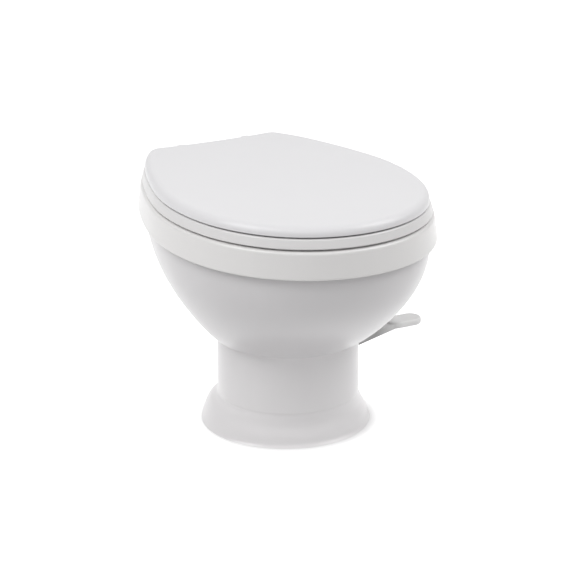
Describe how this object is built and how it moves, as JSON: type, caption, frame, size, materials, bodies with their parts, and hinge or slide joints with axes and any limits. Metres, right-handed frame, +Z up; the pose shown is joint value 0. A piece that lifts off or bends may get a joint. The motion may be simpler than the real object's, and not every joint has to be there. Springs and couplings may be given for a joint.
{
  "type": "rv toilet",
  "caption": "Low gravity-flush toilet on a round pedestal, with a hinged lid and seat, a side foot pedal, a geared flush ball and a cam-driven water valve.",
  "frame": {"origin": "centre of the waste outlet, on the floor", "axes": "+Z up, front of the bowl towards -Y, foot pedal on the +X side"},
  "size_m": [0.4165, 0.4731, 0.3524],
  "materials": {
    "lid_white": "gloss",
    "seat_white": "gloss",
    "rim_white": "gloss",
    "bowl_white": "gloss",
    "pedestal_white": "gloss",
    "pedal_white": "gloss",
    "hinge_white": "satin",
    "cover_white": "satin",
    "bumper_rubber": "matt",
    "seal_rubber": "matt",
    "housing_plastic": "matt",
    "mechanism_plastic": "matt",
    "gear_plastic": "matt",
    "ball_plastic": "gloss",
    "steel": "brushed",
    "spring_steel": "drawn wire",
    "valve_plastic": "matt",
    "nipple_brass": "turned",
    "screen_steel": "woven",
    "hose_rubber": "matt",
    "breaker_plastic": "matt"
  },
  "bodies": {
    "base": {"hinge_posts": "hinge_white", "hinge_pins": "hinge_white", "hinge_bolts": "steel", "hinge_washers": "steel", "rim_deck": "rim_white", "basin": "rim_white", "basin_foot": "rim_white", "bowl_shell": "bowl_white", "pedestal": "pedestal_white", "bolt_covers": "cover_white", "bowl_screws": "steel", "ball_housing": "housing_plastic", "housing_screws": "steel", "ball_seal": "seal_rubber", "seal_retainer": "mechanism_plastic", "floor_seal": "seal_rubber", "ball_shaft_bushes": "mechanism_plastic", "pedal_shaft_bushes": "mechanism_plastic", "return_spring": "spring_steel", "water_valve": "valve_plastic", "valve_screws": "steel", "stem_spring": "spring_steel", "inlet_nipple": "nipple_brass", "inlet_screen": "screen_steel", "water_hose": "hose_rubber", "hose_clamps": "steel", "vacuum_breaker": "breaker_plastic", "breaker_cap": "breaker_plastic", "rinse_nozzle": "breaker_plastic", "nozzle_nut": "breaker_plastic"},
    "seat": {"seat_ring": "seat_white", "seat_bumpers": "bumper_rubber"},
    "lid": {"lid": "lid_white", "lid_bumpers": "bumper_rubber"},
    "pedal": {"pedal": "pedal_white", "pedal_shaft": "steel", "pedal_shaft_pins": "steel", "drive_gear": "gear_plastic"},
    "ball": {"flush_ball": "ball_plastic", "ball_shaft": "steel", "ball_trunnion": "steel", "ball_shaft_pins": "steel", "ball_gear": "gear_plastic", "valve_cam": "gear_plastic"},
    "valve": {"valve_stem": "mechanism_plastic"},
    "float": {"breaker_float": "seal_rubber"}
  },
  "joints": [
    {"name": "seat_hinge", "type": "hinge", "parent": "base", "child": "seat", "pos_m": [0, 0.235, 0.34], "axis": [-1, 0, 0], "range_deg": [0, 95]},
    {"name": "lid_hinge", "type": "hinge", "parent": "seat", "child": "lid", "pos_m": [0, 0.235, 0.34], "axis": [-1, 0, 0], "range_deg": [0, 103]},
    {"name": "pedal_hinge", "type": "hinge", "parent": "base", "child": "pedal", "pos_m": [0.06261, 0, 0.085], "axis": [0, 1, 0], "range_deg": [0, 33], "stiffness_Nm_per_rad": 2, "springref_deg": -28.65},
    {"name": "ball_hinge", "type": "hinge", "parent": "base", "child": "ball", "pos_m": [0, 0, 0.078], "axis": [0, 1, 0], "range_deg": [-99.5, 0]},
    {"name": "valve_slide", "type": "slide", "parent": "base", "child": "valve", "axis": [0, 0, 1], "range_m": [0, 0.0051], "deforming": ["stem_spring"]},
    {"name": "float_slide", "type": "slide", "parent": "base", "child": "float", "axis": [0, 0, 1], "range_m": [0, 0.019]}
  ],
  "couplings": [
    {"joint": "ball_hinge", "follows": "pedal_hinge", "ratio": -3},
    {"joint": "valve_slide", "follows": "pedal_hinge", "m_per_rad": 0.008681}
  ]
}
